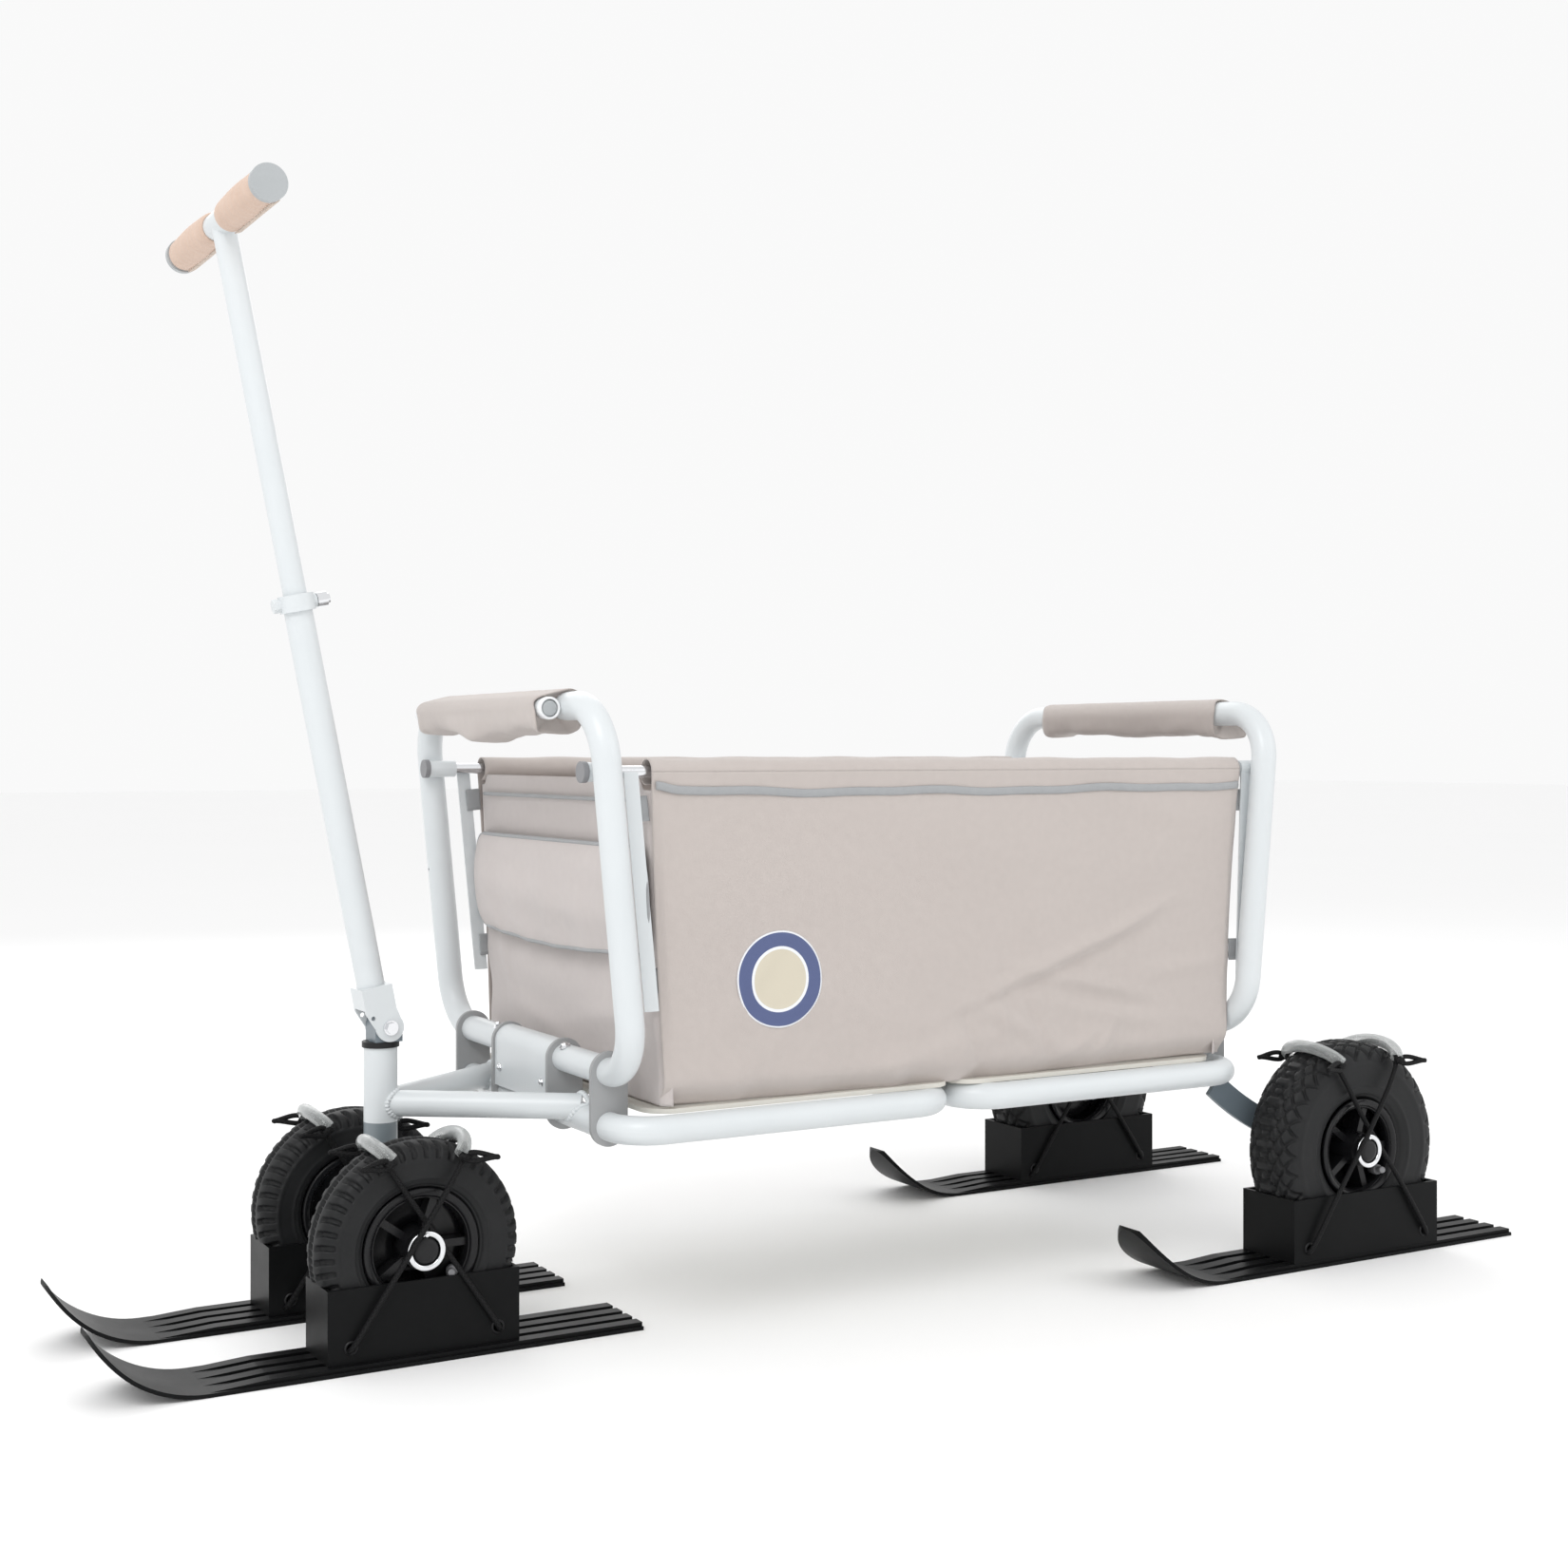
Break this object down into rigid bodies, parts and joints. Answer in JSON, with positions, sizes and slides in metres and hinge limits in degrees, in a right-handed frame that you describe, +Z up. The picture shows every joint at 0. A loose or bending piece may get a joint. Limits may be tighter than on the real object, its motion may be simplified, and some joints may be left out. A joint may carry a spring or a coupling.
{
  "type": "folding beach cart on skis",
  "caption": "Folding pull cart: tube frame that folds in the middle, fabric basket, steered front axle, telescoping drawbar, wheels strapped into ribbed skis.",
  "frame": {"origin": "under the middle of the cart's length, on its centre plane, on the ground", "axes": "-X forwards (drawbar end), +Z up, near side -Y"},
  "size_m": [1.72, 0.6538, 1.1849],
  "materials": {
    "silver_paint": "satin",
    "grey_paint": "satin",
    "grey_plastic": "matte",
    "bare_steel": "brushed",
    "bright_steel": "polished",
    "black_plastic": "satin",
    "cream_board": "satin",
    "taupe_fabric": "woven",
    "tan_leather": "satin",
    "tyre_rubber": "matte",
    "rim_plastic": "gloss",
    "ski_plastic": "semi-gloss",
    "elastic_cord": "woven"
  },
  "bodies": {
    "hoop_rear": {"hoop_tube_rear": "silver_paint", "stays_rear": "silver_paint", "extra_bar_rear": "silver_paint", "handle_cover_rear": "taupe_fabric", "rear_panel": "taupe_fabric", "rail_sockets_rear": "silver_paint", "rail_rods_rear": "bright_steel", "rail_tubes": "grey_plastic", "socket_caps_rear": "black_plastic", "side_panel_near": "taupe_fabric", "side_panel_far": "taupe_fabric"},
    "base_rear": {"base_loop_rear": "silver_paint", "floor_board_rear": "cream_board", "hoop_plates_rear": "grey_plastic", "pivot_housing_rear": "silver_paint", "rear_struts": "grey_paint", "hinge_leaves_rear": "bare_steel", "hinge_pins": "bright_steel"},
    "base_front": {"base_loop_front": "silver_paint", "floor_board_front": "cream_board", "hoop_plates_front": "grey_plastic", "pivot_housing_front": "silver_paint", "yoke_arms": "silver_paint", "head_tube": "silver_paint", "head_bushes": "black_plastic", "hinge_leaves_front": "bare_steel"},
    "hoop_front": {"hoop_tube_front": "silver_paint", "stays_front": "silver_paint", "extra_bar_front": "silver_paint", "handle_cover_front": "taupe_fabric", "front_panel": "taupe_fabric", "rail_sockets_front": "silver_paint", "rail_rods_front": "bright_steel", "socket_caps_front": "black_plastic"},
    "steering": {"steering_spindle": "grey_paint", "front_axle": "grey_paint"},
    "drawbar": {"drawbar_clevis": "silver_paint", "drawbar_lower_tube": "silver_paint", "drawbar_pivot_bolt": "bright_steel", "clamp_collar": "silver_paint"},
    "handle": {"handle_tube": "silver_paint", "handle_grips": "tan_leather", "grip_end_caps": "grey_plastic"},
    "hand_screw": {"clamp_screw": "bright_steel"},
    "wheel_front_near": {"tyre_front_near": "tyre_rubber", "rim_front_near": "rim_plastic", "ski_front_near": "ski_plastic", "cords_front_near": "elastic_cord"},
    "wheel_front_far": {"tyre_front_far": "tyre_rubber", "rim_front_far": "rim_plastic", "ski_front_far": "ski_plastic", "cords_front_far": "elastic_cord"},
    "wheel_rear_near": {"tyre_rear_near": "tyre_rubber", "rim_rear_near": "rim_plastic", "ski_rear_near": "ski_plastic", "cords_rear_near": "elastic_cord"},
    "wheel_rear_far": {"tyre_rear_far": "tyre_rubber", "rim_rear_far": "rim_plastic", "ski_rear_far": "ski_plastic", "cords_rear_far": "elastic_cord"}
  },
  "joints": [
    {"name": "rear_hoop_turn", "type": "hinge", "parent": "hoop_rear", "child": "base_rear", "pos_m": [0.468, 0, 0.287], "axis": [0, 1, 0], "range_deg": [0, 52]},
    {"name": "base_fold", "type": "hinge", "parent": "base_rear", "child": "base_front", "pos_m": [0.059, 0, 0.207], "axis": [0, -1, 0], "range_deg": [0, 104], "deforming": ["side_panel_near", "side_panel_far", "front_panel", "rear_panel"]},
    {"name": "front_hoop_turn", "type": "hinge", "parent": "base_front", "child": "hoop_front", "pos_m": [-0.35, 0, 0.287], "axis": [0, 1, 0], "range_deg": [0, 52]},
    {"name": "steer", "type": "hinge", "parent": "base_front", "child": "steering", "pos_m": [-0.53, 0, 0.25], "axis": [0, 0, 1], "range_deg": [-30, 30]},
    {"name": "drawbar_tilt", "type": "hinge", "parent": "steering", "child": "drawbar", "pos_m": [-0.526, 0, 0.324], "axis": [0, -1, 0], "range_deg": [-20, 62]},
    {"name": "handle_slide", "type": "slide", "parent": "drawbar", "child": "handle", "axis": [-0.1942, 0, 0.981], "range_m": [-0.3, 0]},
    {"name": "hand_screw_turn", "type": "hinge", "parent": "drawbar", "child": "hand_screw", "pos_m": [-0.62143, 0, 0.77506], "axis": [0.981, 0, 0.1942], "range_deg": [0, 180]},
    {"name": "rock_front_near", "type": "hinge", "parent": "steering", "child": "wheel_front_near", "pos_m": [-0.53, -0.104, 0.112], "axis": [0, 1, 0], "range_deg": [-18, 18]},
    {"name": "rock_front_far", "type": "hinge", "parent": "steering", "child": "wheel_front_far", "pos_m": [-0.53, 0.104, 0.112], "axis": [0, 1, 0], "range_deg": [-18, 18]},
    {"name": "rock_rear_near", "type": "hinge", "parent": "base_rear", "child": "wheel_rear_near", "pos_m": [0.61, -0.2715, 0.132], "axis": [0, 1, 0], "range_deg": [-18, 18]},
    {"name": "rock_rear_far", "type": "hinge", "parent": "base_rear", "child": "wheel_rear_far", "pos_m": [0.61, 0.2715, 0.132], "axis": [0, 1, 0], "range_deg": [-18, 18]}
  ],
  "couplings": [
    {"joint": "rear_hoop_turn", "follows": "base_fold", "ratio": 0.5},
    {"joint": "front_hoop_turn", "follows": "base_fold", "ratio": 0.5}
  ]
}
